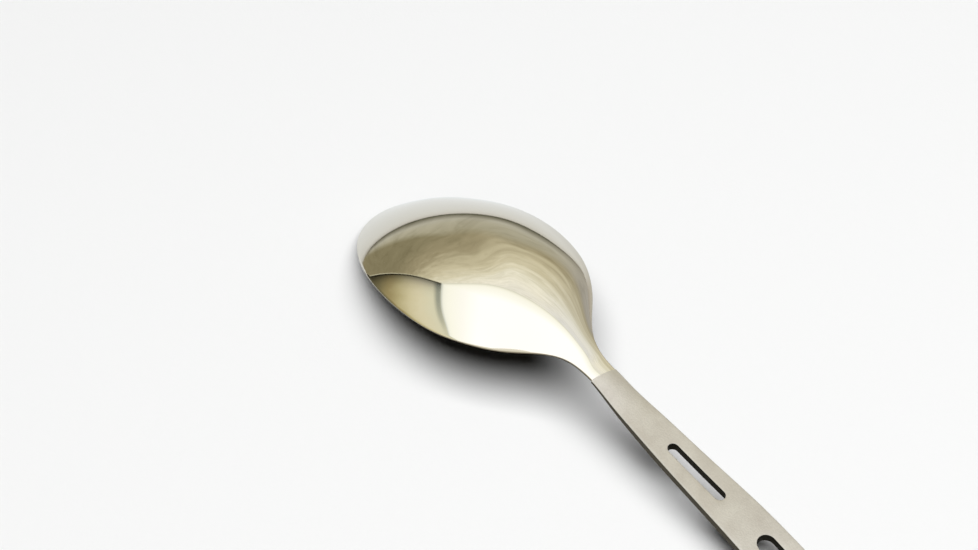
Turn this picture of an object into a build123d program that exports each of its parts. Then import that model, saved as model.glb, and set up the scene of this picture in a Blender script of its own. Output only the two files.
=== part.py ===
"""A titanium camp spoon lying on its rim, bowl downwards.

The bowl and neck are mirror polished and the handle is bead blasted. The two finishes
meet at one straight line across the neck, and the spoon is made in two pieces there.
X runs along the spoon from the bowl's tip to the handle's end, Z is up from the table,
and the origin is on the table under the middle of the spoon. Lengths are millimetres.
"""

import os
from math import cos, radians, sin

from build123d import *

# Overall sizes
spoon_length = 160.0
bowl_width = 40.6
crown_height = 18.95  # top of the bowl's back above the table
polished_length = 75.5  # bowl tip to the line where the polish stops

# Sheet
bowl_sheet = 1.2  # bowl and neck
handle_sheet = 1.9
edge_break = 0.2  # chamfer on the handle's outer edges

# Bowl and neck
bowl_radius = 32.2  # of the section across the bowl's back where it is flattest
section_half_angle = 50.0  # degrees of arc each side of the middle, before trimming
neck_width = 5.86
neck_share = 0.6755  # height of the sheet at the finish line, as a share of the crown's
blank_share = 1.019  # share of the polished length at which the outline closes, uncut

# Handle
handle_end_width = 12.0
finish_step = 0.07  # how far the blasted edge stands outside the polished one
rest_length = 10.0  # level stretch at the end, which lies on the table
neck_fall = 0.18  # slope of the side view at the finish line
neck_flare = 0.055  # slope of the plan outline there
handle_crown = 2.8  # rise of the handle's blank across its middle at the finish line
trim_margin = 0.5  # handle's blank outside the widest part of its outline

# Openings in the handle: how long and wide, and where the middle is as a share of the
# handle's length from the finish line
thin_slot_length = 16.0
thin_slot_width = 2.5
thin_slot_share = 0.3254
wide_slot_length = 16.0
wide_slot_width = 4.0
wide_slot_share = 0.6331
hanging_hole_radius = 2.5
hanging_hole_margin = 6.5  # from the hole's centre to the end of the handle

# Plan outline of the bowl: share of the polished length from the tip, share of half
# the bowl's width
bowl_outline_shares = [
    (0.0265, 0.315),
    (0.119, 0.652),
    (0.265, 0.896),
    (0.454, 0.999),
    (0.636, 0.889),
    (0.768, 0.602),
    (0.848, 0.3345),
]
# Plan outline of the neck: share of the polished length, share of half the neck's width
neck_outline_shares = [
    (0.907, 1.350),
    (0.954, 1.040),
]

# Sections across the back of the bowl and neck: share of the polished length from the
# tip, share of the crown's height, share of the bowl's radius. The first and the last
# lie outside the outline.
back_section_shares = [
    (-0.0265, -0.0454, 0.559),
    (0.020, 0.1145, 0.720),
    (0.066, 0.2560, 0.817),
    (0.159, 0.5000, 0.889),
    (0.265, 0.7135, 0.965),
    (0.371, 0.8630, 1.000),
    (0.477, 0.9530, 0.991),
    (0.583, 1.0000, 0.906),
    (0.675, 0.9810, 0.810),
    (0.762, 0.9210, 0.589),
    (0.834, 0.8450, 0.373),
    (0.901, 0.7590, 0.284),
    (0.954, 0.7020, 0.306),
    (1.000, 0.6755, 0.275),
    (1.033, 0.6475, 0.259),
]

# Plan outline of the handle: share of its length, share of half its end width
handle_outline_shares = [
    (0.235, 0.683),
    (0.570, 0.865),
]
# Sections across the handle's top: share of its length from the finish line, share of
# the fall from the neck to the level end, share of the handle's crown. The first and
# the last lie outside the outline.
handle_section_shares = [
    (-0.0300, 1.034, 1.05),
    (0.0000, 1.000, 1.00),
    (0.0414, 0.930, 0.76),
    (0.1006, 0.825, 0.42),
    (0.1716, 0.739, 0.11),
    (0.2663, 0.639, 0.03),
    (0.3609, 0.558, 0.02),
    (0.4793, 0.461, 0.02),
    (0.6095, 0.284, 0.02),
    (0.7396, 0.085, 0.02),
    (0.8817, 0.000, 0.02),
    (0.9410, 0.000, 0.02),
    (1.0300, 0.000, 0.02),
]
# Underside of the handle: share of its length, share of the fall, share of the sheet
handle_underside_shares = [
    (0.0414, 0.930, 0.925),
    (0.1006, 0.825, 0.975),
    (0.1716, 0.739, 1.000),
    (0.3609, 0.558, 1.000),
    (0.4793, 0.461, 1.000),
    (0.6095, 0.284, 1.000),
    (0.7396, 0.085, 1.000),
]
neck_sheet_share = 0.89  # of the handle's sheet, in the middle of the finish line

# Places worked out from the sizes
tip_x = -spoon_length / 2
end_x = spoon_length / 2
finish_x = tip_x + polished_length
blank_x = tip_x + blank_share * polished_length
rest_x = end_x - rest_length
handle_length = end_x - finish_x
half_bowl = bowl_width / 2
half_neck = neck_width / 2
half_end = handle_end_width / 2
half_blank = half_end + trim_margin
neck_height = neck_share * crown_height
handle_fall = neck_height - handle_sheet

os.makedirs("parts", exist_ok=True)


def section_plane(along):
    """The plane across the spoon at this distance along it."""
    return Plane(origin=(along, 0, 0), x_dir=(0, 1, 0), z_dir=(1, 0, 0))


def section_across_back(along, height, radius):
    """One arc over the bowl or neck."""
    side = radius * sin(radians(section_half_angle))
    drop = radius * (1 - cos(radians(section_half_angle)))
    with BuildLine(section_plane(along)) as section:
        ThreePointArc((-side, height - drop), (0, height), (side, height - drop))
    return section.wire()


def section_across_handle(along, height, crown):
    """One shallow arc over the handle."""
    with BuildLine(section_plane(along)) as section:
        ThreePointArc((-half_blank, height - crown), (0, height), (half_blank, height - crown))
    return section.wire()


# The pressed back of the bowl and neck, still larger than the outline
pressed_back = Shell.make_loft(
    section_across_back(
        tip_x + along * polished_length, height * crown_height, radius * bowl_radius
    )
    for along, height, radius in back_section_shares
)

# Plan outline of the bowl and neck, running a little way past the finish line
with BuildPart(mode=Mode.PRIVATE) as outline_block:
    with BuildSketch():
        with BuildLine():
            side_of_bowl = Spline(
                (tip_x, 0),
                *[
                    (tip_x + along * polished_length, width * half_bowl)
                    for along, width in bowl_outline_shares
                ],
                *[
                    (tip_x + along * polished_length, width * half_neck)
                    for along, width in neck_outline_shares
                ],
                (blank_x, half_neck),
                tangents=[(0, 1), (1, 0)],
            )
            mirror(about=Plane.XZ)
            Line(side_of_bowl @ 1, (blank_x, -half_neck))
        make_face()
    extrude(amount=2 * crown_height)

trimmed_back = pressed_back.faces()[0].intersect(outline_block.part)[0]

# Bowl and neck: the sheet hangs down from its back, and its edges are square to it
with BuildPart() as bowl:
    thicken(trimmed_back, amount=bowl_sheet, normal_override=(0, 0, -1))
    split(bisect_by=Plane(origin=(finish_x, 0, 0), z_dir=(1, 0, 0)), keep=Keep.BOTTOM)

bowl.part.label = "bowl"
export_step(bowl.part, "parts/bowl.step")

# The top of the handle carries the neck's crown on and then runs out nearly flat
handle_top = Shell.make_loft(
    section_across_handle(
        finish_x + along * handle_length,
        handle_sheet + fall * handle_fall,
        crown * handle_crown,
    )
    for along, fall, crown in handle_section_shares
)

# Handle: a bent strip, cut to its plan outline and pierced
with BuildPart() as handle:
    with BuildSketch(Plane.XZ):
        with BuildLine():
            bottom_edge = Spline(
                (finish_x, neck_height - neck_sheet_share * handle_sheet),
                *[
                    (
                        finish_x + along * handle_length,
                        handle_sheet * (1 - sheet) + fall * handle_fall,
                    )
                    for along, fall, sheet in handle_underside_shares
                ],
                (rest_x, 0),
                tangents=[(1, -neck_fall), (1, 0)],
            )
            Polyline(
                bottom_edge @ 1,
                (end_x, 0),
                (end_x, crown_height),
                (finish_x, crown_height),
                bottom_edge @ 0,
            )
        make_face()
    extrude(amount=handle_end_width, both=True)
    extrude(handle_top.faces()[0], amount=crown_height, dir=(0, 0, -1), mode=Mode.INTERSECT)

    with BuildSketch():
        with BuildLine():
            side_of_handle = Spline(
                (finish_x, half_neck + finish_step),
                *[
                    (finish_x + along * handle_length, width * half_end)
                    for along, width in handle_outline_shares
                ],
                (end_x - half_end, half_end),
                tangents=[(1, neck_flare), (1, 0)],
            )
            RadiusArc(side_of_handle @ 1, (end_x, 0), half_end)
            mirror(about=Plane.XZ)
            Line(side_of_handle @ 0, (finish_x, -half_neck - finish_step))
        make_face()
    extrude(amount=crown_height, mode=Mode.INTERSECT)

    # All outer edges except the straight ones and the arc at the finish line
    long_edges = handle.edges().filter_by(Axis.Y, reverse=True).filter_by(Axis.Z, reverse=True)
    chamfer(long_edges.sort_by(Axis.X)[1:], length=edge_break)

    with BuildSketch():
        with Locations((finish_x + thin_slot_share * handle_length, 0)):
            SlotOverall(thin_slot_length, thin_slot_width)
        with Locations((finish_x + wide_slot_share * handle_length, 0)):
            SlotOverall(wide_slot_length, wide_slot_width)
        with Locations((end_x - hanging_hole_margin, 0)):
            Circle(hanging_hole_radius)
    extrude(amount=crown_height, mode=Mode.SUBTRACT)

handle.part.label = "handle"
export_step(handle.part, "parts/handle.step")

for piece in (bowl, handle):
    box = piece.part.bounding_box()
    print(piece.part.label, round(piece.part.volume, 1), "mm3", box)
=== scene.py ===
# %% [markdown]
# # A titanium camp spoon, lying face down on white cloth
#
# The real spoon is one pressed piece of sheet titanium. Its bowl and neck are polished
# like a mirror and its handle is blasted with fine beads to a warm grey. A straight line
# across the neck parts the two finishes.
#
# A mirror has hardly any look of its own: what shows on it is the room, bent by its shape.
# So this lesson spends its care on three things: a bowl whose surface is smooth to a
# thousandth of a millimetre, a plain room for it to reflect, and a matt handle beside it.

from math import cos, pi, radians, sin, sqrt

import bmesh
import bpy
import numpy as np
from mathutils import Matrix, Vector
from mathutils.geometry import delaunay_2d_cdt


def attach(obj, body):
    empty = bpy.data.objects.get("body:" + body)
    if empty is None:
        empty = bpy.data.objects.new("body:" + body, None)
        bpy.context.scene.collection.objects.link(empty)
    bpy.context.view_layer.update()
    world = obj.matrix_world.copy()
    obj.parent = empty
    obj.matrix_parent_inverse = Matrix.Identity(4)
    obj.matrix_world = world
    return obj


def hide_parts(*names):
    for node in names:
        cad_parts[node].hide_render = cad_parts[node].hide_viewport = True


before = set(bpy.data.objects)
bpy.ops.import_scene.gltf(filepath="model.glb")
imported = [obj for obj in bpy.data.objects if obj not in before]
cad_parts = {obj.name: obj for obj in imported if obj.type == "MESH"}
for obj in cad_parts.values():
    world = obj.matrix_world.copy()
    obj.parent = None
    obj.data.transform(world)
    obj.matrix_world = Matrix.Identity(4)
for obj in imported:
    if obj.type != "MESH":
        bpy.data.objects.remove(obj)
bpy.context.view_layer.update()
scene = bpy.context.scene
scene.view_settings.view_transform = "Standard"
print("CAD nodes:", sorted(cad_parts))

# %% [markdown]
# ## Camera
#
# The photograph looks down at the spoon from beyond its right side. The camera stands at
# that angle and distance, aimed a little beside the middle of the bowl, with a lens long
# enough that the far edge of the bowl is hardly smaller than the near one.

# %% Camera
azimuth, elevation, roll = radians(51.147), radians(46.128), radians(-0.138)
distance = 0.4296
aimed_at = Vector((-0.03714, 0, 0.00762))
aim_right, aim_down = 0.006125, 0.01199  # off the picture's centre, as shares of the distance

toward_camera = Vector((sin(azimuth), -cos(azimuth), 0))
back = toward_camera * cos(elevation) + Vector((0, 0, sin(elevation)))
level_right = Vector((cos(azimuth), sin(azimuth), 0))
level_up = back.cross(level_right)
right = level_right * cos(roll) + level_up * sin(roll)
up = level_up * cos(roll) - level_right * sin(roll)

camera = bpy.data.objects.new("Camera", bpy.data.cameras.new("Camera"))
scene.collection.objects.link(camera)
camera.data.sensor_width = 36
camera.data.lens = 74.87
camera.data.clip_start = 0.01
place = Matrix((right, up, back)).transposed().to_4x4()
place.translation = aimed_at - distance * (-back + aim_right * right - aim_down * up)
camera.matrix_world = place
scene.camera = camera
print("camera at", tuple(round(c, 4) for c in place.translation))

# %% [markdown]
# ## Sizes of the spoon
#
# Everything below is in metres. The bowl and neck are given by a few sections across the
# sheet: how high its middle is there, and how round it is. The outline is given by a few
# half widths. Between them the shape follows smooth curves whose curvature has no jumps,
# because the eye sees each jump in a mirror as a kink in what it reflects.

# %% Sizes
spoon_length, polished_length = 0.160, 0.0755
half_bowl, half_neck, half_end = 0.0203, 0.00293, 0.006
crown_height, bowl_radius, neck_height = 0.01895, 0.0322, 0.0128
bowl_sheet, handle_sheet = 0.0012, 0.0019
tip_x, end_x = -spoon_length / 2, spoon_length / 2
finish_x = tip_x + polished_length
handle_length = end_x - finish_x
start_x = finish_x - 0.00016  # where the finishes really meet in the middle
finish_slant = 0.119  # how far the finish line leans along the spoon, for each metre across

# Middle line of the bowl's back: share of the polished length, share of the crown's height
crown_shares = [
    (-0.0265, -0.0454), (0.066, 0.256), (0.159, 0.500), (0.265, 0.7135), (0.371, 0.863),
    (0.477, 0.953), (0.583, 1.0), (0.675, 0.981), (0.762, 0.921), (0.834, 0.845),
    (0.901, 0.759), (0.954, 0.702), (1.0, 0.6755),
]
# Middle line of the handle: share of its length, share of its fall to the level end
fall_shares = [
    (0.0770, 0.8620), (0.1479, 0.7670), (0.2426, 0.6610), (0.3609, 0.5578),
    (0.4793, 0.4606), (0.6095, 0.2844), (0.7396, 0.0853), (0.8817, 0.0),
]
# Roundness across: share of the polished length, share of the bowl's radius
radius_shares = [
    (-0.0265, 0.559), (0.066, 0.817), (0.159, 0.889), (0.265, 0.965), (0.371, 1.0),
    (0.477, 0.991), (0.583, 0.906), (0.675, 0.810), (0.762, 0.589), (0.834, 0.373),
    (0.901, 0.284), (0.954, 0.306), (1.0, 0.2755), (1.033, 0.259),
]
# Outline: share of the polished length, share of half the bowl's width
bowl_outline_shares = [
    (0.0265, 0.315), (0.119, 0.652), (0.265, 0.896), (0.454, 0.999), (0.636, 0.889),
    (0.768, 0.602), (0.848, 0.3345),
]
# The same on the neck, with a share of half the neck's width
neck_outline_shares = [(0.907, 1.350), (0.954, 1.040), (1.0, 0.99), (1.02, 0.995)]
print("finish line at", round(finish_x * 1000, 1), "mm")
print("handle:", round(handle_length * 1000, 1), "mm long")

# %% [markdown]
# ## Smooth lines
#
# A cubic spline through the given points is the plainest line without jumps in curvature.
# NumPy solves the few equations for it. The line can be read at any place, and so can its
# slope, which the bowl needs to know which way its surface faces.


# %% A smooth line through points
class SmoothLine:
    """A cubic spline through points, ending without curvature."""

    def __init__(self, places, values):
        self.t = t = np.array(places, float)
        self.v = v = np.array(values, float)
        h, n = np.diff(t), len(t)
        a, b = np.eye(n), np.zeros(n)
        for i in range(1, n - 1):
            a[i, i - 1 : i + 2] = h[i - 1], 2 * (h[i - 1] + h[i]), h[i]
            b[i] = 6 * ((v[i + 1] - v[i]) / h[i] - (v[i] - v[i - 1]) / h[i - 1])
        self.m = np.linalg.solve(a, b)

    def _parts(self, at):
        at = np.asarray(at, float)
        i = np.clip(np.searchsorted(self.t, at) - 1, 0, len(self.t) - 2)
        h = self.t[i + 1] - self.t[i]
        return i, h, (self.t[i + 1] - at) / h, (at - self.t[i]) / h

    def __call__(self, at):
        i, h, p, q = self._parts(at)
        bend = ((p**3 - p) * self.m[i] + (q**3 - q) * self.m[i + 1]) * h * h / 6
        return p * self.v[i] + q * self.v[i + 1] + bend

    def slope(self, at):
        i, h, p, q = self._parts(at)
        bend = ((3 * q * q - 1) * self.m[i + 1] - (3 * p * p - 1) * self.m[i]) * h / 6
        return (self.v[i + 1] - self.v[i]) / h + bend


# %% The middle line and the roundness
def on_bowl(share):
    """The place along the spoon at a share of the polished length from the tip."""
    return tip_x + share * polished_length


def on_handle(share):
    """The place along the spoon at a share of the handle's length from the finish line."""
    return finish_x + share * handle_length


fall = neck_height - handle_sheet
crown_points = [(on_bowl(s), h * crown_height) for s, h in crown_shares]
crown_points += [(on_handle(s), handle_sheet + f * fall) for s, f in fall_shares]
crown = SmoothLine(*zip(*crown_points))
radius = SmoothLine(*zip(*[(on_bowl(s), r * bowl_radius) for s, r in radius_shares]))
print("crown at the finish line:", round(float(crown(finish_x)) * 1000, 2), "mm")

# %% [markdown]
# ## Outline of the bowl
#
# Seen from above, the outline runs from the tip round one side to the finish line. It is
# a smooth line too, but of a path: x and y each follow the distance walked. The mirrored
# points on the other side of the tip make it cross the tip squarely.

# %% Outline of the bowl
bowl_side = [(on_bowl(s), w * half_bowl) for s, w in bowl_outline_shares]
neck_side = [(on_bowl(s), w * half_neck) for s, w in neck_outline_shares]
side = np.array(bowl_side + neck_side)
both = np.vstack([side[::-1] * (1, -1), [(tip_x, 0)], side])
walked = np.concatenate([[0], np.cumsum(np.hypot(*np.diff(both, axis=0).T))])
walked -= walked[len(side)]
outline_x, outline_y = SmoothLine(walked, both[:, 0]), SmoothLine(walked, both[:, 1])
neck_from, halvings = 0.7, 40  # the share of the way from which to search, and how finely


def walk_to(x):
    """How far round the outline from the tip a place on the neck lies."""
    low, high = walked[-1] * neck_from, walked[-1]
    for _ in range(halvings):
        middle = (low + high) / 2
        low, high = (middle, high) if outline_x(middle) < x else (low, middle)
    return middle


slant = finish_slant * half_neck
walk_right, walk_left = walk_to(start_x + slant), walk_to(start_x - slant)
print("outline from the tip to the finish line:", round(walk_right * 1000, 1), "mm")

# %% [markdown]
# ## The bowl's blank
#
# A spoon starts as a flat blank, and a press gives it its form. The mesh is made the same
# way. The blank is a closed plate drawn flat: a grid for the back, a grid for the inside
# and narrow strips round the edge. Every point carries its own numbers: how deep it lies
# in the sheet, how far out on the rounded edge, and the section at its place.

# %% Sides of the blank
rows, columns, edge_rounding = 250, 104, 0.00022
walk_share = (np.arange(rows + 1) / rows) ** 2  # rows lie closer together at the tip


def back_slopes(x, y):
    """Slopes of the bowl's back along and across the spoon."""
    r = radius(x)
    q = np.sqrt(r * r - y * y)
    return crown.slope(x) - radius.slope(x) * (1 - r / q), -y / q


def edge_points(sign, walk_end):
    """Points set in from one side of the outline by the rounding, and their outward ways."""
    t = walk_share * walk_end
    x, y = outline_x(t), sign * outline_y(t)
    dx, dy = outline_x.slope(t), sign * outline_y.slope(t)
    out = sign * np.stack([-dy, dx], 1)
    out /= np.linalg.norm(out, axis=1, keepdims=True)
    zx, zy = back_slopes(x, y)
    lean = 1 / np.sqrt(1 + (zx * out[:, 0] + zy * out[:, 1]) ** 2)
    inset = np.stack([x, y], 1) - out * (edge_rounding * lean)[:, None]
    return inset, out


right_in, right_out = edge_points(1, walk_right)
left_in, left_out = edge_points(-1, walk_left)
print("outward at the tip:", right_out[0].round(3), "and at the neck:", right_out[-1].round(3))

# %% [markdown]
# The rows of the grid join the two sides. They lie close together at the tip, where the
# outline turns fast, and further apart along the neck. At the tip itself a whole row
# shrinks to one point, so each sheet is closed there by triangles that meet in it.

# %% Points of the blank
across = np.linspace(0, 1, columns + 1)[None, :, None]
grid = left_in[1:, None, :] * (1 - across) + right_in[1:, None, :] * across
sheet_points = np.vstack([right_in[:1], grid.reshape(-1, 2)])

# A quarter turn of the rounded edge: how far down and how far out, as shares of the rounding
quarter_turn = [(1 - cos(a), sin(a)) for a in np.radians([22.5, 45, 67.5, 90])]
rim_steps = [(0, down, outwards) for down, outwards in quarter_turn]
rim_steps += [(1, -down, outwards) for down, outwards in quarter_turn[::-1]]


def ring(left, right):
    """Values round the edge, from the left of the finish line over the tip to the right."""
    return np.concatenate([left[::-1], right[1:]])


edge_plan, edge_out = ring(left_in, right_in), ring(left_out, right_out)
plan, through, drop, reach, out = [], [], [], [], []


def add_points(xy, share=0.0, down=0.0, outwards=0.0, direction=None):
    """Adds points to the blank and returns the number of the first."""
    first = sum(len(p) for p in plan)
    plan.append(xy)
    for values, value in ((through, share), (drop, down), (reach, outwards)):
        values.append(np.full(len(xy), float(value)))
    out.append(np.zeros((len(xy), 2)) if direction is None else direction)
    return first


back_first = add_points(sheet_points)
inside_first = add_points(sheet_points, share=1)
rim_firsts = [add_points(edge_plan, *step, edge_out) for step in rim_steps]
blank_xy = np.vstack(plan)
print("blank:", len(blank_xy), "points,", len(edge_plan), "of them round each line of the edge")

# %% Faces of the blank
row_points = columns + 1


def sheet_faces(first, upwards):
    """Faces of one grid whose first point is the tip."""
    quads = []
    for i in range(rows - 1):
        for j in range(columns):
            a = first + 1 + i * row_points + j
            quads.append((a, a + row_points, a + row_points + 1, a + 1))
    for j in range(columns):
        quads.append((first, first + 1 + j, first + 2 + j))
    return [q if upwards else q[::-1] for q in quads]


def sheet_edge(first):
    """Numbers of the grid's points round its edge, in the order of ring()."""
    left = [first + 1 + i * row_points for i in range(rows)]
    right = [number + columns for number in left]
    return left[::-1] + [first] + right


strips = [sheet_edge(back_first)]
strips += [list(range(first, first + len(edge_plan))) for first in rim_firsts]
strips.append(sheet_edge(inside_first))

faces = sheet_faces(back_first, True) + sheet_faces(inside_first, False)
for upper, lower in zip(strips, strips[1:]):
    faces += [(upper[i], upper[i + 1], lower[i + 1], lower[i]) for i in range(len(upper) - 1)]

# The finish line's end of the plate, and the ends of the rounded edges beside it
last_row = 1 + (rows - 1) * row_points
back_end = [back_first + last_row + j for j in range(row_points)]
inside_end = [inside_first + last_row + j for j in range(row_points)]
faces += [
    (back_end[j], inside_end[j], inside_end[j + 1], back_end[j + 1]) for j in range(columns)
]
faces.append([s[0] for s in strips])
faces.append([s[-1] for s in strips][::-1])
print("blank:", len(faces), "faces")

# %% Numbers that the points carry
flat = np.zeros(len(blank_xy))
blank = bpy.data.meshes.new("bowl_blank")
blank.from_pydata(np.column_stack([blank_xy, flat]).tolist(), [], faces)
along_x = blank_xy[:, 0]
carried = {
    "crown": crown(along_x),
    "crown_slope": crown.slope(along_x),
    "radius": radius(along_x),
    "radius_slope": radius.slope(along_x),
    "through": np.concatenate(through),
    "drop": np.concatenate(drop),
    "reach": np.concatenate(reach),
    "outward": np.column_stack([np.vstack(out), flat]),
}
for name, values in carried.items():
    kind, key = ("FLOAT", "value") if values.ndim == 1 else ("FLOAT_VECTOR", "vector")
    layer = blank.attributes.new(name, kind, "POINT")
    layer.data.foreach_set(key, np.ascontiguousarray(values, np.float32).ravel())
print("each point carries", ", ".join(carried))

# %% [markdown]
# ## The press
#
# A Geometry Nodes tree presses the blank. At every point it works out the height of the
# back from the section there, and the direction that the back faces. Then it moves the
# point down through the sheet along that direction, and out round the edge. The sheet's
# thickness and the edge's rounding are inputs of the tree, so either can be changed
# without drawing a new blank.


# %% Helpers for node trees
def link(tree, source, target):
    """Joins a socket, or sets a plain value."""
    if isinstance(source, bpy.types.NodeSocket):
        tree.links.new(source, target)
    else:
        target.default_value = source


def math(tree, operation, *values):
    """A Math node, returned as its output."""
    node = tree.nodes.new("ShaderNodeMath")
    node.operation = operation
    for value, target in zip(values, node.inputs):
        link(tree, value, target)
    return node.outputs[0]


def vector_math(tree, operation, *values):
    """A Vector Math node, returned as its vector output, or its value for a dot product."""
    node = tree.nodes.new("ShaderNodeVectorMath")
    node.operation = operation
    for i, value in enumerate(values):
        scaling = operation == "SCALE" and i == 1
        link(tree, value, node.inputs["Scale"] if scaling else node.inputs[i])
    return node.outputs["Value" if operation == "DOT_PRODUCT" else "Vector"]


def combine(tree, x, y, z):
    """A vector from three values."""
    node = tree.nodes.new("ShaderNodeCombineXYZ")
    for value, target in zip((x, y, z), node.inputs):
        link(tree, value, target)
    return node.outputs[0]


# %% Height and direction of the back, in nodes
press = bpy.data.node_groups.new("Press a blank", "GeometryNodeTree")
press.interface.new_socket("Geometry", in_out="INPUT", socket_type="NodeSocketGeometry")
for name, value in (("Sheet thickness", bowl_sheet), ("Edge rounding", edge_rounding)):
    socket = press.interface.new_socket(name, in_out="INPUT", socket_type="NodeSocketFloat")
    socket.subtype, socket.default_value, socket.min_value = "DISTANCE", value, 0.0
press.interface.new_socket("Finish", in_out="INPUT", socket_type="NodeSocketMaterial")
press.interface.new_socket("Geometry", in_out="OUTPUT", socket_type="NodeSocketGeometry")


def attribute(tree, name, kind="FLOAT"):
    """Reads a number that the blank's points carry."""
    node = tree.nodes.new("GeometryNodeInputNamedAttribute")
    node.data_type = kind
    node.inputs["Name"].default_value = name
    return node.outputs["Attribute"]


given = press.nodes.new("NodeGroupInput")
parts = press.nodes.new("ShaderNodeSeparateXYZ")
link(press, press.nodes.new("GeometryNodeInputPosition").outputs[0], parts.inputs[0])
x, y = parts.outputs[0], parts.outputs[1]

# The section is an arc of radius r, and q is the point's height above the arc's centre
r = attribute(press, "radius")
q_squared = math(press, "SUBTRACT", math(press, "MULTIPLY", r, r), math(press, "MULTIPLY", y, y))
q = math(press, "SQRT", q_squared)
height = math(press, "ADD", math(press, "SUBTRACT", attribute(press, "crown"), r), q)
lag = math(press, "SUBTRACT", 1.0, math(press, "DIVIDE", r, q))
rounder = math(press, "MULTIPLY", attribute(press, "radius_slope"), lag)
slope_x = math(press, "SUBTRACT", attribute(press, "crown_slope"), rounder)
facing_x, facing_y = math(press, "MULTIPLY", slope_x, -1.0), math(press, "DIVIDE", y, q)
facing = vector_math(press, "NORMALIZE", combine(press, facing_x, facing_y, 1.0))
print("press so far:", len(press.nodes), "nodes")

# %% Sinking through the sheet and reaching out round the edge, in nodes
outward = attribute(press, "outward", "FLOAT_VECTOR")
lift = vector_math(press, "SCALE", facing, vector_math(press, "DOT_PRODUCT", outward, facing))
edge_way = vector_math(press, "NORMALIZE", vector_math(press, "SUBTRACT", outward, lift))

thickness_here, rounding_here = given.outputs["Sheet thickness"], given.outputs["Edge rounding"]
through_sheet = math(press, "MULTIPLY", attribute(press, "through"), thickness_here)
round_edge = math(press, "MULTIPLY", attribute(press, "drop"), rounding_here)
depth = math(press, "ADD", through_sheet, round_edge)
push = math(press, "MULTIPLY", attribute(press, "reach"), rounding_here)
pushed = vector_math(press, "SCALE", edge_way, push)
on_back = combine(press, x, y, height)
sunk = vector_math(press, "SUBTRACT", on_back, vector_math(press, "SCALE", facing, depth))

move = press.nodes.new("GeometryNodeSetPosition")
link(press, given.outputs["Geometry"], move.inputs["Geometry"])
link(press, vector_math(press, "ADD", sunk, pushed), move.inputs["Position"])
smooth = press.nodes.new("GeometryNodeSetShadeSmooth")
link(press, move.outputs[0], smooth.inputs["Geometry"])
real = press.nodes.new("GeometryNodeRealizeInstances")
link(press, smooth.outputs[0], real.inputs[0])
finish = press.nodes.new("GeometryNodeSetMaterial")
link(press, real.outputs[0], finish.inputs["Geometry"])
link(press, given.outputs["Finish"], finish.inputs["Material"])
link(press, finish.outputs[0], press.nodes.new("NodeGroupOutput").inputs[0])
print("press:", len(press.nodes), "nodes")

# %% [markdown]
# ## Finishes
#
# Both finishes are bare titanium, so both are metallic and share one warm grey. Only the
# fine relief of the surface parts them. Polishing leaves hairlines far too fine to see,
# which blur what the mirror shows by a trace. Bead blasting leaves a field of tiny dents
# of all sizes, whose pits are a little darker. One node group makes such a relief out of
# noise, and each finish uses it with sizes of its own.
#
# The cut edges of the sheet get painted shade: they are darkened as if they mirrored the
# shadowed cloth under them. A second node group finds them by how steeply they stand: it
# reads which way the surface faces.


# %% Helpers for node groups
def add_inputs(group, values):
    """Gives a node group named inputs with their usual values."""
    for name, value in values.items():
        socket = group.interface.new_socket(name, in_out="INPUT", socket_type="NodeSocketFloat")
        socket.default_value = value


def noise(tree, where, size, detail=2.0, roughness=0.5, distortion=0.0):
    """Noise whose lumps are about this large."""
    node = tree.nodes.new("ShaderNodeTexNoise")
    link(tree, where, node.inputs["Vector"])
    link(tree, math(tree, "DIVIDE", 1.0, size), node.inputs["Scale"])
    node.inputs["Detail"].default_value = detail
    node.inputs["Roughness"].default_value = roughness
    node.inputs["Distortion"].default_value = distortion
    return node.outputs[0]


# %% A node group for fine relief
relief = bpy.data.node_groups.new("Fine relief", "ShaderNodeTree")
add_inputs(relief, {"Grain size": 0.0002, "Cloud size": 0.004, "Height": 0.00001, "Stretch": 1.0})
relief.interface.new_socket("Normal", in_out="OUTPUT", socket_type="NodeSocketVector")
relief.interface.new_socket("Grain", in_out="OUTPUT", socket_type="NodeSocketFloat")
relief.interface.new_socket("Clouds", in_out="OUTPUT", socket_type="NodeSocketFloat")

inputs = relief.nodes.new("NodeGroupInput").outputs
results = relief.nodes.new("NodeGroupOutput").inputs
here = relief.nodes.new("ShaderNodeTexCoord").outputs["Object"]
squeeze = combine(relief, math(relief, "DIVIDE", 1.0, inputs["Stretch"]), 1.0, 1.0)
stretched = vector_math(relief, "MULTIPLY", here, squeeze)
grain = noise(relief, stretched, inputs["Grain size"], 3.0, 0.6)
clouds = noise(relief, stretched, inputs["Cloud size"], 2.0, 0.5)
bump = relief.nodes.new("ShaderNodeBump")
bump.inputs["Strength"].default_value = 1.0
link(relief, inputs["Height"], bump.inputs["Distance"])
link(relief, grain, bump.inputs["Height"])
for result, name in ((bump.outputs[0], "Normal"), (grain, "Grain"), (clouds, "Clouds")):
    link(relief, result, results[name])
print("relief:", len(relief.nodes), "nodes")

# %% A node group for cut edges
cut_edges = bpy.data.node_groups.new("Cut edges", "ShaderNodeTree")
add_inputs(cut_edges, {"Lowest": -0.5, "Highest": 0.5, "Softness": 0.2})
cut_edges.interface.new_socket("Mask", in_out="OUTPUT", socket_type="NodeSocketFloat")

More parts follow.
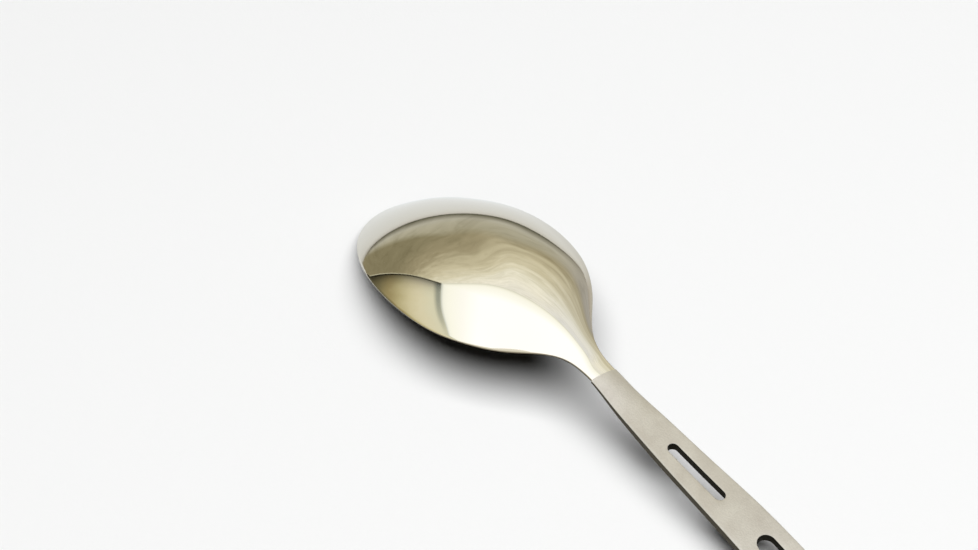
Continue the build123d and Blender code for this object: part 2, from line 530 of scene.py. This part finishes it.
inputs = cut_edges.nodes.new("NodeGroupInput").outputs
normal = cut_edges.nodes.new("ShaderNodeTexCoord").outputs["Normal"]
facing_up = vector_math(cut_edges, "DOT_PRODUCT", normal, (0, 0, 1))
above = math(cut_edges, "SUBTRACT", facing_up, inputs["Lowest"])
above = math(cut_edges, "DIVIDE", above, inputs["Softness"])
below = math(cut_edges, "SUBTRACT", inputs["Highest"], facing_up)
below = math(cut_edges, "DIVIDE", below, inputs["Softness"])
within = math(cut_edges, "MINIMUM", math(cut_edges, "MINIMUM", above, below), 1.0)
mask = math(cut_edges, "MAXIMUM", within, 0.0)
link(cut_edges, mask, cut_edges.nodes.new("NodeGroupOutput").inputs["Mask"])
print("cut edges:", len(cut_edges.nodes), "nodes")


# %% Helpers for materials
def new_material(name):
    """A material with its tree and its Principled shader."""
    material = bpy.data.materials.new(name)
    material.use_nodes = True
    return material, material.node_tree, material.node_tree.nodes["Principled BSDF"]


def use(tree, group, **values):
    """Places a node group and sets its inputs."""
    node = tree.nodes.new("ShaderNodeGroup")
    node.node_tree = group
    for name, value in values.items():
        link(tree, value, node.inputs[name.replace("_", " ")])
    return node


def ramp(tree, factor, stops):
    """A colour ramp through (place, colour) stops."""
    node = tree.nodes.new("ShaderNodeValToRGB")
    link(tree, factor, node.inputs[0])
    elements = node.color_ramp.elements
    while len(elements) < len(stops):
        elements.new(0.5)
    for element, (place_on_ramp, colour) in zip(elements, stops):
        element.position = place_on_ramp
        element.color = (*colour, 1)
    return node.outputs[0]


def mix(tree, factor, first, second, blend="MIX"):
    """A colour between two, or one blended with the other."""
    node = tree.nodes.new("ShaderNodeMix")
    node.data_type, node.blend_type = "RGBA", blend
    for value, number in ((factor, 0), (first, 6), (second, 7)):
        link(tree, (*value, 1) if isinstance(value, tuple) else value, node.inputs[number])
    return node.outputs[2]


def between(tree, value, low, high):
    """A value brought from low and high to 0 and 1."""
    return math(tree, "DIVIDE", math(tree, "SUBTRACT", value, low), high - low)


black, white = (0, 0, 0), (1, 1, 1)

# %% Polished titanium
polished, tree, shader = new_material("polished_titanium")
shader.inputs["Metallic"].default_value = 1.0
shader.inputs["Roughness"].default_value = 0.045
hairlines = use(tree, relief, Grain_size=0.006, Cloud_size=0.02, Height=0.0000012, Stretch=2.0)
link(tree, hairlines.outputs["Normal"], shader.inputs["Normal"])
colour = ramp(tree, hairlines.outputs["Clouds"], [
    (0.3, (0.655, 0.612, 0.53)), (0.7, (0.68, 0.64, 0.56)),
])
# Painted shade: the steep cut edges are darkened, as if they mirrored the shadow under the bowl.
edges = use(tree, cut_edges, Lowest=-0.66, Highest=0.64, Softness=0.24)
colour = mix(tree, edges.outputs["Mask"], colour, (0.3, 0.26, 0.19))
link(tree, colour, shader.inputs["Base Color"])
print("polished titanium:", len(tree.nodes), "nodes")

# %% [markdown]
# The blasted handle is clouded very faintly. The rounded line between its top and its cut
# edges gets a painted highlight. The cut edges get painted shade, and the walls of the
# openings get darker painted shade than the outer edges. They lie within the handle's middle,
# so a mask finds them by how far out they are.

# %% Blasted titanium
blasted, tree, shader = new_material("blasted_titanium")
shader.inputs["Metallic"].default_value = 1.0
shader.inputs["Roughness"].default_value = 0.5
dents = use(tree, relief, Grain_size=0.00035, Cloud_size=0.004, Height=0.00006, Stretch=1.0)
link(tree, dents.outputs["Normal"], shader.inputs["Normal"])
colour = ramp(tree, dents.outputs["Clouds"], [
    (0.25, (0.495, 0.453, 0.395)), (0.75, (0.575, 0.538, 0.475)),
])
pits = ramp(tree, dents.outputs["Grain"], [(0.3, (0.9, 0.9, 0.9)), (0.7, white)])
colour = mix(tree, 1.0, colour, pits, "MULTIPLY")
# Painted highlight: the rounded line between the top and the cut edges is brightened.
edge_highlight = use(tree, cut_edges, Lowest=0.4, Highest=0.93, Softness=0.08)
colour = mix(tree, edge_highlight.outputs["Mask"], colour, (0.58, 0.565, 0.525))

# Painted shade on the cut edges: darkest on the walls of the openings, less dark on the outer
# edges.
here = tree.nodes.new("ShaderNodeTexCoord").outputs["Object"]
off_middle = math(tree, "ABSOLUTE", vector_math(tree, "DOT_PRODUCT", here, (0, 1, 0)))
outer_share = between(tree, off_middle, 0.00264, 0.00288)
painted_edge_shade = ramp(tree, outer_share, [(0.0, (0.03, 0.027, 0.02)), (1.0, (0.09, 0.08, 0.06))])
edges = use(tree, cut_edges, Lowest=-0.46, Highest=0.46, Softness=0.3)
colour = mix(tree, edges.outputs["Mask"], colour, painted_edge_shade)
link(tree, colour, shader.inputs["Base Color"])
print("blasted titanium:", len(tree.nodes), "nodes")

# %% [markdown]
# ## Pressing the bowl
#
# The blank gets the press as a modifier. Its inputs are set by their identifiers, the
# result is turned into a plain mesh, and the modifier goes.


# %% Press the bowl
def set_inputs(modifier, values):
    """Sets inputs of a Geometry Nodes modifier by the names that they show."""
    for item in modifier.node_group.interface.items_tree:
        if item.item_type == "SOCKET" and item.in_out == "INPUT" and item.name in values:
            modifier[item.identifier] = values[item.name]


def made_real(source, name):
    """A plain mesh object from what an object's modifiers make."""
    bpy.context.view_layer.update()
    evaluated = source.evaluated_get(bpy.context.evaluated_depsgraph_get())
    mesh = bpy.data.meshes.new_from_object(evaluated)
    mesh.name = name
    result = bpy.data.objects.new(name, mesh)
    scene.collection.objects.link(result)
    bpy.data.objects.remove(source)
    return result


blank_object = bpy.data.objects.new("bowl_blank", blank)
scene.collection.objects.link(blank_object)
modifier = blank_object.modifiers.new("Press", "NODES")
modifier.node_group = press
set_inputs(modifier, {
    "Sheet thickness": bowl_sheet, "Edge rounding": edge_rounding, "Finish": polished,
})
bowl = made_real(blank_object, "polished_bowl")
for name in carried:
    if name in bowl.data.attributes:
        bowl.data.attributes.remove(bowl.data.attributes[name])
bowl_points = np.array([v.co for v in bowl.data.vertices])
for word, point in (("from", bowl_points.min(0)), ("to", bowl_points.max(0))):
    print("bowl", word, [round(float(value) * 1000, 2) for value in point], "mm")

# %% [markdown]
# ## The handle
#
# The handle is cut from the same strip, so at the finish line it is as round across as the
# neck, and further on it runs out flat. Two slots and a hanging hole go through it. Its
# plan is filled with small triangles between the outline and the openings, lifted to the
# height of the middle line, and closed by the same rounded edge all the way round.

# %% Heights and widths of the handle
# Share of the handle's length, share of half its end width
width_shares = [
    (-0.02, 0.495), (0.0, 0.500), (0.077, 0.548), (0.195, 0.648), (0.337, 0.743),
    (0.479, 0.833), (0.610, 0.890), (0.763, 0.958), (0.929, 1.0), (1.0, 1.0),
]
# Share of the handle's length, share of the neck's curvature across
curve_shares = [
    (-0.02, 1.03), (0.0, 1.0), (0.041, 0.86), (0.100, 0.49), (0.148, 0.20), (0.195, 0.05),
    (0.243, 0.0), (0.337, 0.0), (1.0, 0.0),
]
# Share of the handle's length, share of its sheet
thickness_shares = [
    (-0.02, 0.71), (0.0, 0.72), (0.041, 0.83), (0.100, 0.95), (0.172, 1.0), (0.3, 1.0),
    (1.0, 1.0),
]


def along_handle(shares, unit):
    """A smooth line along the handle."""
    return SmoothLine([on_handle(s) for s, _ in shares], [v * unit for _, v in shares])


half_width = along_handle(width_shares, half_end)
curvature = along_handle(curve_shares, 1 / float(radius(start_x)))
thickness = along_handle(thickness_shares, handle_sheet)


def top(x, y):
    """Height of the handle's top."""
    k = np.maximum(curvature(x), 0)
    return np.maximum(crown(x), handle_sheet) - k * y * y / (1 + np.sqrt(1 - (k * y) ** 2))


def underside(x):
    """Height of the handle's underside, which is flat across."""
    return np.maximum(np.maximum(crown(x), handle_sheet) - thickness(x), 0)


print("handle at the finish line:", round(float(half_width(finish_x)) * 2000, 2), "mm wide")

# %% Edges of the openings
opening_rounding = 0.00006
hole_margin, hole_radius = 0.0065, 0.0025
slot_step = 0.0006  # between points along a slot's straight sides


def slot_place(middle_share, length, width):
    """A slot's middle, half its straight part and the radius of its ends."""
    return on_handle(middle_share), length / 2 - width / 2, width / 2


def slot_edge(middle, straight, r):
    """The edge of a slot, walked with the metal on the left."""
    turn = np.linspace(0, pi, 17)
    count = int(2 * straight / slot_step)
    steps = np.arange(1, count)[:, None] / count
    points, away = [], []
    for centre, sign in ((middle + straight, 1), (middle - straight, -1)):
        direction = np.stack([np.sin(turn) * sign, np.cos(turn) * sign], 1)
        points += [(centre, 0) + r * direction]
        points += [(centre, -sign * r) + steps * (-sign * 2 * straight, 0)]
        away += [-direction, np.tile((0.0, float(sign)), (len(steps), 1))]
    return np.vstack(points), np.vstack(away)


def hole_edge(middle, r):
    """The edge of the hanging hole, walked the same way."""
    turn = -np.linspace(0, 2 * pi, 49)[:-1]
    direction = np.stack([np.cos(turn), np.sin(turn)], 1)
    return (middle, 0) + r * direction, -direction


thin_slot = slot_place(0.3254, 0.0157, 0.0024)
wide_slot = slot_place(0.6331, 0.016, 0.004)
hole_middle = end_x - hole_margin
hanging_hole = (hole_middle, 0.0, hole_radius)
openings = [slot_edge(*thin_slot), slot_edge(*wide_slot), hole_edge(hole_middle, hole_radius)]
print("points round the openings:", [len(points) for points, _ in openings])

# %% Outline of the handle
xs = start_x + (end_x - half_end - start_x) * np.linspace(0, 1, 150)[:-1]
leaning = (1 - (xs - xs[0]) / (xs[-1] - xs[0])) * slant
lower_x, upper_x = xs - leaning, xs + leaning
turn = np.linspace(-pi / 2, pi / 2, 33)
bend = np.stack([np.cos(turn), np.sin(turn)], 1)
outer = np.vstack([
    np.stack([lower_x, -half_width(lower_x)], 1),
    (end_x - half_end, 0) + half_end * bend,
    np.stack([upper_x, half_width(upper_x)], 1)[::-1],
])
flare_low, flare_up = half_width.slope(lower_x), half_width.slope(upper_x)
outer_away = np.vstack([
    np.stack([-flare_low, -np.ones_like(flare_low)], 1),
    bend,
    np.stack([-flare_up, np.ones_like(flare_up)], 1)[::-1],
])
outer_away /= np.linalg.norm(outer_away, axis=1, keepdims=True)
outer_away[0], outer_away[-1] = (0, -1), (0, 1)
print("outline:", len(outer), "points")

# %% [markdown]
# The triangles come from a constrained Delaunay fill, which keeps every piece of outline
# as an edge. It also fills the openings, so the triangles inside them are left out.

# %% Points for the fill
loops = [(outer, outer_away, edge_rounding)]
loops += [(points, away, opening_rounding) for points, away in openings]
inset_loops = [points - away * rounding for points, away, rounding in loops]
finish_y = np.linspace(inset_loops[0][-1, 1], inset_loops[0][0, 1], 11)[1:-1]
finish_points = np.stack([start_x + finish_slant * finish_y, finish_y], 1)

row_step, row_start, row_end = 0.0009, 0.0008, 0.001  # between rows, and to the two ends
least_gap = 0.0003  # from any point to the outlines
slanted_length = 0.02  # over which the rows turn from the finish line's slant to square
inner_points = []
for x in np.arange(start_x + row_start, end_x - row_end, row_step):
    past_arc = max(0, x - end_x + half_end)
    half_row = min(float(half_width(x)), sqrt(max(half_end**2 - past_arc**2, 0)))
    fading = max(0, 1 - (x - start_x) / slanted_length)
    for share in (-0.84, -0.63, -0.42, -0.21, 0, 0.21, 0.42, 0.63, 0.84):
        point = np.array([x + finish_slant * share * half_row * fading, share * half_row])
        gap = min(np.hypot(*(ring_points - point).T).min() for ring_points in inset_loops)
        if gap > least_gap:
            inner_points.append(point)
print("points inside the plan:", len(inner_points))

# %% Fill the handle's plan
plan_points = np.vstack(inset_loops + [finish_points, np.array(inner_points)])
starts = np.cumsum([0] + [len(loop) for loop in inset_loops])
loop_ids = [list(range(a, b)) for a, b in zip(starts, starts[1:])]
finish_ids = list(range(starts[-1], starts[-1] + len(finish_points)))
rings_closed = [loop_ids[0] + finish_ids] + loop_ids[1:]
kept_edges = [(ids[i], ids[(i + 1) % len(ids)]) for ids in rings_closed for i in range(len(ids))]

# The fill works in millimetres, to a ten-thousandth of one
in_millimetres = [Vector(p * 1000) for p in plan_points]
filled = delaunay_2d_cdt(in_millimetres, kept_edges, [], 1, 1e-4)
filled_points = np.array([tuple(v) for v in filled[0]]) / 1000


def in_opening(point):
    """Whether a place on the plan lies in a slot or in the hole."""
    for middle, straight, r in (thin_slot, wide_slot, hanging_hole):
        past_straight = max(abs(point[0] - middle) - straight, 0)
        if np.hypot(past_straight, point[1]) < r + opening_rounding - 1e-6:
            return True
    return False


def turned_up(face):
    """The face turned so that it is walked anticlockwise seen from above."""
    a, b, c = (filled_points[i] for i in face[:3])
    doubled_area = (b[0] - a[0]) * (c[1] - a[1]) - (b[1] - a[1]) * (c[0] - a[0])
    return tuple(face) if doubled_area > 0 else tuple(face)[::-1]


plan_faces = []
for face in filled[2]:
    if not in_opening(np.mean([filled_points[i] for i in face], 0)):
        plan_faces.append(turned_up(face))
print("plan:", len(plan_points), "points in,", len(filled_points), "out,", len(plan_faces), "faces")

# %% Lift the plan to both sides and close the edges
count = len(filled_points)
px, py = filled_points[:, 0], filled_points[:, 1]
handle_points = [np.column_stack([px, py, top(px, py)]), np.column_stack([px, py, underside(px)])]
handle_faces = plan_faces + [tuple(i + count for i in f)[::-1] for f in plan_faces]
for (points, away, rounding), inset, ids in zip(loops, inset_loops, loop_ids):
    high, low = top(inset[:, 0], inset[:, 1]), underside(inset[:, 0])
    steps = [(high, -down, outwards) for down, outwards in quarter_turn]
    steps += [(low, down, outwards) for down, outwards in quarter_turn[::-1]]
    levels = [ids]
    for base, rise, outwards in steps:
        first = sum(len(p) for p in handle_points)
        xy = inset + away * outwards * rounding
        handle_points.append(np.column_stack([xy, base + rise * rounding]))
        levels.append(list(range(first, first + len(inset))))
    levels.append([i + count for i in ids])
    if points is outer:
        end_faces = [[level[0] for level in levels][::-1], [level[-1] for level in levels]]
    span = len(ids) - 1 if points is outer else len(ids)
    for upper, lower in zip(levels, levels[1:]):
        for i in range(span):
            k = (i + 1) % len(ids)
            handle_faces.append((upper[i], lower[i], lower[k], upper[k]))

finish_top = [loop_ids[0][-1]] + finish_ids + [loop_ids[0][0]]
handle_faces += [(b, a, a + count, b + count) for a, b in zip(finish_top, finish_top[1:])]
handle_faces += end_faces
print("handle:", sum(len(p) for p in handle_points), "points,", len(handle_faces), "faces")

# %% [markdown]
# Both meshes are shaded smooth, but not over the square end at the finish line, where it
# would draw a dark seam. A mesh is sound when it is closed, its faces all point outwards
# and it encloses about what the CAD piece does.

# %% The handle's mesh, and a look at both
handle_mesh = bpy.data.meshes.new("blasted_handle")
handle_mesh.from_pydata(np.vstack(handle_points).tolist(), [], handle_faces)
handle_mesh.materials.append(blasted)
handle_mesh.polygons.foreach_set("use_smooth", [True] * len(handle_mesh.polygons))
handle = bpy.data.objects.new("blasted_handle", handle_mesh)
scene.collection.objects.link(handle)


def measure(piece):
    """Prints whether a mesh is closed and how much it encloses."""
    bm = bmesh.new()
    bm.from_mesh(piece.data)
    open_edges = sum(not e.is_manifold for e in bm.edges)
    turned = sum(not e.is_contiguous for e in bm.edges if e.is_manifold)
    volume = round(bm.calc_volume(signed=True) * 1e9, 1)
    print(piece.name, len(bm.faces), "faces,", volume, "mm3 enclosed")
    print("open edges:", open_edges, "turned edges:", turned)
    bm.free()


for piece in (bowl, handle):
    piece.data.set_sharp_from_angle(angle=radians(50))
    measure(piece)

# %% [markdown]
# ## The room
#
# The bowl mirrors the whole room, so the room decides its look. The photograph's
# reflections give it away: white cloth below, a bright ceiling above, and two dull walls
# that meet in a dark corner behind the spoon. Each is a plain plane. One material recipe
# gives such a plane three faces: what the mirror sees, nothing for matt surfaces, which
# the lamp alone lights, and plain pale paper for the camera, so that the spoon has a clean
# background from every side.

# %% Room
room_middle = Vector((-0.040, 0, 0))
to_wall_a = Vector((-0.557, 0.8305, 0)).normalized()
to_wall_b = Vector((-0.8306, -0.557, 0)).normalized()
wall_a_at, wall_b_at, wall_c_at, wall_d_at, ceiling_at = 0.674, 1.644, 1.9, 1.9, 1.6
pale_paper = (0.9, 0.9, 0.9)
bare_metal = (0.665, 0.625, 0.545)  # about the polished titanium's colour


def corner(a, b, z):
    """A point of the room, this far towards wall A and towards wall B."""
    return room_middle + a * to_wall_a + b * to_wall_b + Vector((0, 0, z))


def plane(name, points, material):
    """A four-cornered backdrop."""
    mesh = bpy.data.meshes.new(name)
    mesh.from_pydata([tuple(p) for p in points], [], [(0, 1, 2, 3)])
    mesh.materials.append(material)
    obj = bpy.data.objects.new(name, mesh)
    scene.collection.objects.link(obj)
    return obj


def seen(r, g, b):
    """The light a wall must send for the polished titanium to show this screen colour."""
    return tuple(((c / 255 + 0.055) / 1.055) ** 2.4 / m for c, m in zip((r, g, b), bare_metal))


print("a wall seen as (200, 190, 160) sends", [round(c, 2) for c in seen(200, 190, 160)])


# %% Helpers for the walls
def room_place(tree):
    """Where a surface point lies: how far towards wall A, towards wall B, and how high."""
    where = tree.nodes.new("ShaderNodeTexCoord").outputs["Object"]
    where = vector_math(tree, "SUBTRACT", where, tuple(room_middle))
    ways = (tuple(to_wall_a), tuple(to_wall_b), (0, 0, 1))
    return [vector_math(tree, "DOT_PRODUCT", where, way) for way in ways]


def wall_material(name, colour_in_mirror):
    """Glows in its colours to the mirror, pale to the camera and not at all to the cloth."""
    material = bpy.data.materials.new(name)
    material.use_nodes = True
    material.cycles.emission_sampling = "NONE"
    tree = material.node_tree
    tree.nodes.clear()
    rays = tree.nodes.new("ShaderNodeLightPath")
    mirrored = colour_in_mirror(tree, *room_place(tree))
    colour = mix(tree, rays.outputs["Is Glossy Ray"], black, mirrored)
    colour = mix(tree, rays.outputs["Is Camera Ray"], colour, pale_paper)
    glow = tree.nodes.new("ShaderNodeEmission")
    link(tree, colour, glow.inputs["Color"])
    link(tree, glow.outputs[0], tree.nodes.new("ShaderNodeOutputMaterial").inputs[0])
    return material


def sloped(tree, value, slope, offset):
    """A straight line of a value."""
    return math(tree, "ADD", math(tree, "MULTIPLY", value, slope), offset)


# %% [markdown]
# Wall A stands behind the spoon. It is olive low down near the corner and gets creamier
# upwards and to the right, in soft slanting streaks of painted light and shade under fine
# brush strokes. A greyer band runs along its foot, with painted shade where the cloth meets
# it. Wall B, to the left, goes from brown low down through amber to cream. It has painted
# shade in the corner and a grey cornice.


# %% Wall A in the mirror
def wall_a_foot(tree, b, z):
    """The greyer band, with painted shade where it meets the cloth. It gets lower close to the
    corner.
    """
    lowered = math(tree, "MAXIMUM", sloped(tree, b, -1.6, 1.76), 0.25)
    squeeze = math(tree, "MINIMUM", 1.0, lowered)
    foot = ramp(tree, between(tree, math(tree, "DIVIDE", z, squeeze), 0.0, 0.25), [
        (0.0, seen(62, 58, 46)), (0.04, seen(92, 89, 72)), (0.10, seen(118, 114, 96)),
        (0.20, seen(148, 143, 124)), (0.32, seen(172, 167, 147)), (0.5, seen(170, 164, 140)),
        (1.0, seen(161, 154, 127)),
    ])
    on_the_right = ramp(tree, between(tree, b, -0.3, 0.0), [(0.0, white), (1.0, black)])
    return mix(tree, on_the_right, foot, seen(167, 160, 141))


def wall_a_colour(tree, a, b, z):
    """Slanting streaks of painted light and shade from olive to cream over a grey foot, with a
    bright edge in the corner.
    """
    steep = math(tree, "SMOOTH_MIN", 0.1, sloped(tree, b, -1.3, 0.34), 0.12)
    shift = math(tree, "SMOOTH_MAX", steep, sloped(tree, b, -0.42, -0.03), 0.12)
    slanting = math(tree, "ADD", z, shift)
    # Painted light and shade: soft slanting streaks of brighter and darker wall.
    broad = combine(tree, sloped(tree, slanting, 5.0, 0.0), sloped(tree, b, 0.8, 0.0), 3.0)
    streaks = noise(tree, broad, 0.5, 3.0, 0.55)
    fine = combine(tree, sloped(tree, slanting, 8.0, 0.0), sloped(tree, b, 2.0, 0.0), 8.0)
    strokes = noise(tree, fine, 0.5, 4.0, 0.65, 1.0)
    slanting = math(tree, "ADD", slanting, sloped(tree, streaks, 0.44, -0.22))
    wall = ramp(tree, between(tree, slanting, -0.2, 1.6), [
        (0.08, seen(130, 121, 91)), (0.17, seen(141, 131, 100)), (0.27, seen(155, 144, 112)),
        (0.33, seen(180, 170, 137)), (0.42, seen(198, 188, 155)), (0.52, seen(214, 206, 176)),
        (0.62, seen(226, 220, 195)), (0.75, seen(235, 229, 207)), (0.92, seen(230, 225, 207)),
    ])
    foot_top = math(tree, "MINIMUM", sloped(tree, b, -0.55, 0.55), sloped(tree, b, 0.15, 0.22))
    over_foot = between(tree, math(tree, "SUBTRACT", z, foot_top), -0.04, 0.05)
    over_foot = ramp(tree, over_foot, [(0.0, black), (1.0, white)])
    wall = mix(tree, over_foot, wall_a_foot(tree, b, z), wall)
    brushed = ramp(tree, strokes, [
        (0.3, (0.84, 0.83, 0.81)), (0.5, white), (0.7, (1.1, 1.1, 1.12)),
    ])
    wall = mix(tree, 1.0, wall, brushed, "MULTIPLY")
    greyer = ramp(tree, between(tree, b, -0.4, -0.1), [(0.0, (0.92, 0.94, 1.02)), (1.0, white)])
    wall = mix(tree, 1.0, wall, greyer, "MULTIPLY")
    by_corner = between(tree, b, 1.54, wall_b_at)
    by_corner = ramp(tree, by_corner, [(0.0, black), (0.6, black), (0.85, white)])
    return mix(tree, by_corner, wall, seen(205, 198, 165))


# %% Wall B in the mirror
def wall_b_colour(tree, a, b, z):
    """Brown low down, amber and cream above, with painted shade in the corner, under a grey
    cornice.
    """
    patches = noise(tree, combine(tree, a, b, z), 0.25, 2.0, 0.5)
    height = math(tree, "ADD", z, sloped(tree, patches, 0.2, -0.1))
    wall = ramp(tree, between(tree, height, 0.2, 1.6), [
        (0.03, seen(104, 97, 70)), (0.16, seen(126, 116, 82)), (0.29, seen(160, 144, 100)),
        (0.41, seen(187, 174, 129)), (0.56, seen(212, 200, 160)), (0.70, seen(223, 212, 177)),
        (0.85, seen(222, 215, 184)),
    ])
    cornice = ramp(tree, between(tree, z, 1.43, ceiling_at), [
        (0.0, black), (0.5, white), (0.9, white), (1.0, (0.8, 0.8, 0.8)),
    ])
    fading = ramp(tree, between(tree, a, -0.9, 0.15), [
        (0.0, (0.2, 0.2, 0.2)), (0.4, (0.65, 0.65, 0.65)), (1.0, white),
    ])
    cornice = mix(tree, 1.0, cornice, fading, "MULTIPLY")
    wall = mix(tree, cornice, wall, seen(157, 158, 140))
    # Painted shade: wall B darkens towards the corner where it meets wall A.
    from_corner = math(tree, "SUBTRACT", wall_a_at, a)
    corner_shade = ramp(tree, between(tree, from_corner, 0.0, 0.5), [
        (0.0, (0.012, 0.01, 0.006)), (0.045, (0.02, 0.018, 0.012)), (0.075, (0.28, 0.28, 0.29)),
        (0.15, (0.4, 0.4, 0.42)), (0.24, (0.56, 0.56, 0.58)), (0.44, (0.81, 0.81, 0.82)),
        (0.66, (0.94, 0.94, 0.94)), (1.0, white),
    ])
    wall = mix(tree, 1.0, wall, corner_shade, "MULTIPLY")
    return mix(tree, 1.0, wall, (0.905, 0.915, 0.9), "MULTIPLY")


# %% The ceiling and the walls behind the camera in the mirror
ceiling_white = (1.65, 1.69, 1.79)


def ceiling_colour(tree, a, b, z):
    """White, creamy next to both walls."""
    near_a = ramp(tree, between(tree, math(tree, "SUBTRACT", wall_a_at, a), 0.0, 0.4), [
        (0.0, seen(205, 202, 182)), (0.04, seen(219, 216, 194)), (0.12, seen(240, 237, 216)),
        (0.24, seen(250, 247, 229)), (0.6, seen(254, 252, 238)), (1.0, ceiling_white),
    ])
    near_b = ramp(tree, between(tree, math(tree, "SUBTRACT", wall_b_at, b), 0.0, 0.9), [
        (0.0, seen(195, 196, 180)), (0.03, seen(214, 214, 198)), (0.07, seen(243, 241, 223)),
        (0.2, seen(250, 247, 229)), (0.6, seen(254, 251, 239)), (1.0, ceiling_white),
    ])
    return mix(tree, 1.0, near_a, near_b, "DARKEN")


def behind_camera_colour(tree, a, b, z):
    """Dull, getting lighter upwards."""
    return ramp(tree, between(tree, z, 0.0, ceiling_at), [
        (0.0, seen(95, 90, 75)), (0.3, seen(150, 143, 122)), (0.7, seen(200, 193, 172)),
        (1.0, seen(225, 219, 198)),
    ])


# %% Put up the walls
floor_corners = [
    (-wall_c_at, -wall_d_at), (wall_a_at, -wall_d_at),
    (wall_a_at, wall_b_at), (-wall_c_at, wall_b_at),
]


def wall(name, first, second, colour_in_mirror):
    """A wall that stands between two corners of the floor, given by their numbers."""
    first, second = floor_corners[first], floor_corners[second]
    points = [corner(*first, 0), corner(*second, 0)]
    points += [corner(*second, ceiling_at), corner(*first, ceiling_at)]
    plane(name, points, wall_material(name, colour_in_mirror))


wall("wall_a", 1, 2, wall_a_colour)
wall("wall_b", 2, 3, wall_b_colour)
wall("wall_c", 3, 0, behind_camera_colour)
wall("wall_d", 0, 1, behind_camera_colour)
ceiling_points = [corner(*floor_corners[i], ceiling_at) for i in (0, 3, 2, 1)]
plane("ceiling", ceiling_points, wall_material("ceiling", ceiling_colour))
room_size = (wall_a_at + wall_c_at, wall_b_at + wall_d_at, ceiling_at)
print("room:", [round(value, 2) for value in room_size], "m")

# %% [markdown]
# ## Cloth
#
# The table is covered with smooth white cloth. Its weave is much finer than a pixel, so it
# only takes a faint bump. In the mirror it gets greyer and warmer towards wall A, and
# browner past the tip, as the photograph's reflection does: painted shade, seen only in the
# mirror. The second bounce of light from it is kept low, so that the shadow under the rim
# stays as deep as in the photograph.

# %% Cloth
cloth, tree, shader = new_material("white_cloth")
shader.inputs["Roughness"].default_value = 0.9
shader.inputs["Specular IOR Level"].default_value = 0.1
weave = use(tree, relief, Grain_size=0.0006, Cloud_size=0.03, Height=0.00003, Stretch=1.0)
link(tree, weave.outputs["Normal"], shader.inputs["Normal"])

a, b, _ = room_place(tree)
# Painted shade for the mirror: greyer and warmer towards wall A, browner past the tip.
mirrored = ramp(tree, between(tree, a, 0.0, wall_a_at), [
    (0.0, (0.86, 0.9, 0.93)), (0.2, (0.85, 0.87, 0.87)), (1.0, (0.75, 0.73, 0.67)),
])
past_tip = math(tree, "ADD", b, math(tree, "MULTIPLY", a, 0.5))
tip_shade = ramp(tree, between(tree, past_tip, -0.02, 0.03), [(0.0, (0.7, 0.66, 0.6)), (1.0, white)])
mirrored = mix(tree, 1.0, mirrored, tip_shade, "MULTIPLY")
rays = tree.nodes.new("ShaderNodeLightPath")
colour = mix(tree, rays.outputs["Is Glossy Ray"], (0.872, 0.875, 0.872), mirrored)
bounced = math(tree, "MINIMUM", rays.outputs["Diffuse Depth"], 1.0)
link(tree, mix(tree, bounced, colour, (0.035, 0.035, 0.035)), shader.inputs["Base Color"])
floor = plane("floor", [corner(*ab, 0) for ab in floor_corners], cloth)
print("floor faces", tuple(round(c, 2) for c in floor.data.polygons[0].normal))

# %% [markdown]
# ## Light
#
# One large round lamp hangs just under the ceiling, a little beyond the handle. It is what
# gives the shadow its place and its soft edge. The mirror doesn't show it, because the
# photograph's bowl shows no lamp, only the bright ceiling. The world is the same pale
# paper as the walls.

# %% Light
lamp = bpy.data.objects.new("Soft lamp", bpy.data.lights.new("Soft lamp", "AREA"))
scene.collection.objects.link(lamp)
lamp_brightness = 3.5  # times white
lamp.data.shape = "DISK"
lamp.data.size = 2.4
lamp.data.energy = lamp_brightness * pi * pi * (lamp.data.size / 2) ** 2
lamp.location = (0.19, 0.23, 1.55)
lamp.visible_glossy = False
print("lamp:", round(lamp.data.size, 2), "m across,", round(lamp.data.energy), "W")

world = bpy.data.worlds.new("World")
scene.world = world
world.use_nodes = True
world.node_tree.nodes["Background"].inputs["Color"].default_value = (*pale_paper, 1)
world.node_tree.nodes["Background"].inputs["Strength"].default_value = 1.0

# %% [markdown]
# ## Hand the pieces to the frame
#
# Each piece stands for its CAD node and rides on the one body.

# %% Ride and replace
for piece, node, finish_name in (
    (bowl, "bowl", "polished_titanium"),
    (handle, "handle", "blasted_titanium"),
):
    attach(piece, "root")
    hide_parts(node)
